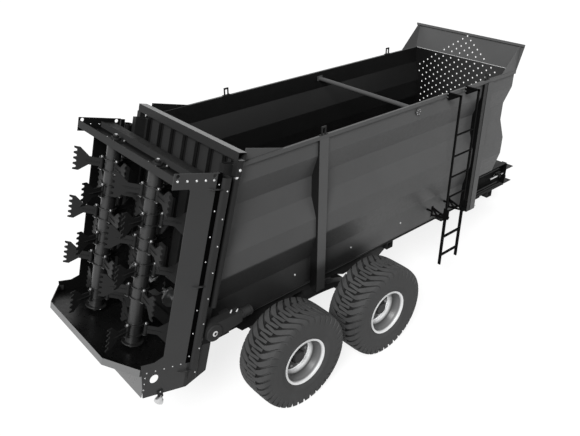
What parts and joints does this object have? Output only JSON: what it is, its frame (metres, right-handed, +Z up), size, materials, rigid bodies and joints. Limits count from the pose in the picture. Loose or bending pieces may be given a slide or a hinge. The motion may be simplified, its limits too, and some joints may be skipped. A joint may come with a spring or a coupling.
{
  "type": "manure spreader",
  "caption": "Towed two-axle manure spreader with a deep ribbed hopper, chain-and-slat floor, raked upright paddle rotors and a lifting rear door.",
  "frame": {"origin": "on the ground, at the middle of the overall box in plan", "axes": "+X towards the tractor, +Y to the machine's left, +Z up"},
  "size_m": [8.2853, 2.81, 3.4657],
  "materials": {
    "body_grey": "smooth anthracite paint, semi-gloss",
    "frame_grey": "smooth anthracite paint, semi-gloss",
    "rotor_grey": "smooth grey paint, semi-gloss",
    "bare_steel": "bare worked steel",
    "cast": "painted casting",
    "rim_silver": "silver wheel paint",
    "tyre_rubber": "matt rubber",
    "rod_chrome": "polished",
    "lamp_silver": "bright housing"
  },
  "bodies": {
    "frame": {"side_wall_right": "body_grey", "side_wall_left": "body_grey", "wall_posts": "body_grey", "front_wall": "body_grey", "headboard": "body_grey", "tie_bar": "body_grey", "lifting_eyes": "body_grey", "rear_frame": "body_grey", "chassis_rails": "frame_grey", "cross_members": "frame_grey", "floor_plate": "frame_grey", "floor_chains": "bare_steel", "conveyor_shafts": "bare_steel", "conveyor_drive": "cast", "chain_tensioners": "bare_steel", "axles": "frame_grey", "leaf_springs": "frame_grey", "drawbar": "frame_grey", "towing_eye": "cast", "drive_line": "bare_steel", "rotor_frame_right": "body_grey", "rotor_frame_left": "body_grey", "rotor_frame_top": "body_grey", "spreading_tray": "body_grey", "rotor_gears": "cast", "door_cylinders": "frame_grey", "ladder_upper": "frame_grey", "rear_lamps": "lamp_silver"},
    "wheel_rear_right": {"rim_rear_right": "rim_silver", "tyre_rear_right": "tyre_rubber"},
    "wheel_rear_left": {"rim_rear_left": "rim_silver", "tyre_rear_left": "tyre_rubber"},
    "wheel_front_right": {"rim_front_right": "rim_silver", "tyre_front_right": "tyre_rubber"},
    "wheel_front_left": {"rim_front_left": "rim_silver", "tyre_front_left": "tyre_rubber"},
    "rotor_right": {"rotor_tube_right": "rotor_grey", "rotor_paddles_right": "rotor_grey"},
    "rotor_left": {"rotor_tube_left": "rotor_grey", "rotor_paddles_left": "rotor_grey"},
    "door": {"rear_door": "body_grey", "door_rods": "rod_chrome"},
    "ladder_fold": {"ladder_lower": "frame_grey"},
    "jack": {"jack_leg": "bare_steel"}
  },
  "joints": [
    {"name": "wheel_rear_right_spin", "type": "hinge", "parent": "frame", "child": "wheel_rear_right", "pos_m": [-2.082, -1.15, 0.624], "axis": [0, 1, 0], "continuous": true},
    {"name": "wheel_rear_left_spin", "type": "hinge", "parent": "frame", "child": "wheel_rear_left", "pos_m": [-2.082, 1.15, 0.624], "axis": [0, 1, 0], "continuous": true},
    {"name": "wheel_front_right_spin", "type": "hinge", "parent": "frame", "child": "wheel_front_right", "pos_m": [-0.664, -1.15, 0.624], "axis": [0, 1, 0], "continuous": true},
    {"name": "wheel_front_left_spin", "type": "hinge", "parent": "frame", "child": "wheel_front_left", "pos_m": [-0.664, 1.15, 0.624], "axis": [0, 1, 0], "continuous": true},
    {"name": "rotor_left_spin", "type": "hinge", "parent": "frame", "child": "rotor_left", "pos_m": [-3.44224, 0.425, 2.18637], "axis": [0.2672, 0, 0.9636], "continuous": true},
    {"name": "rotor_right_spin", "type": "hinge", "parent": "frame", "child": "rotor_right", "pos_m": [-3.44224, -0.425, 2.18637], "axis": [0.2672, 0, 0.9636], "continuous": true},
    {"name": "door_lift", "type": "slide", "parent": "frame", "child": "door", "axis": [0.2672, 0, 0.9636], "range_m": [0, 1.2]},
    {"name": "ladder_fold_hinge", "type": "hinge", "parent": "frame", "child": "ladder_fold", "pos_m": [0.948, -1.14, 1.4], "axis": [-1, 0, 0], "range_deg": [0, 175]},
    {"name": "jack_slide", "type": "slide", "parent": "frame", "child": "jack", "axis": [0, 0, 1], "range_m": [0, 0.3]}
  ],
  "couplings": [
    {"joint": "rotor_right_spin", "follows": "rotor_left_spin", "ratio": -1}
  ]
}
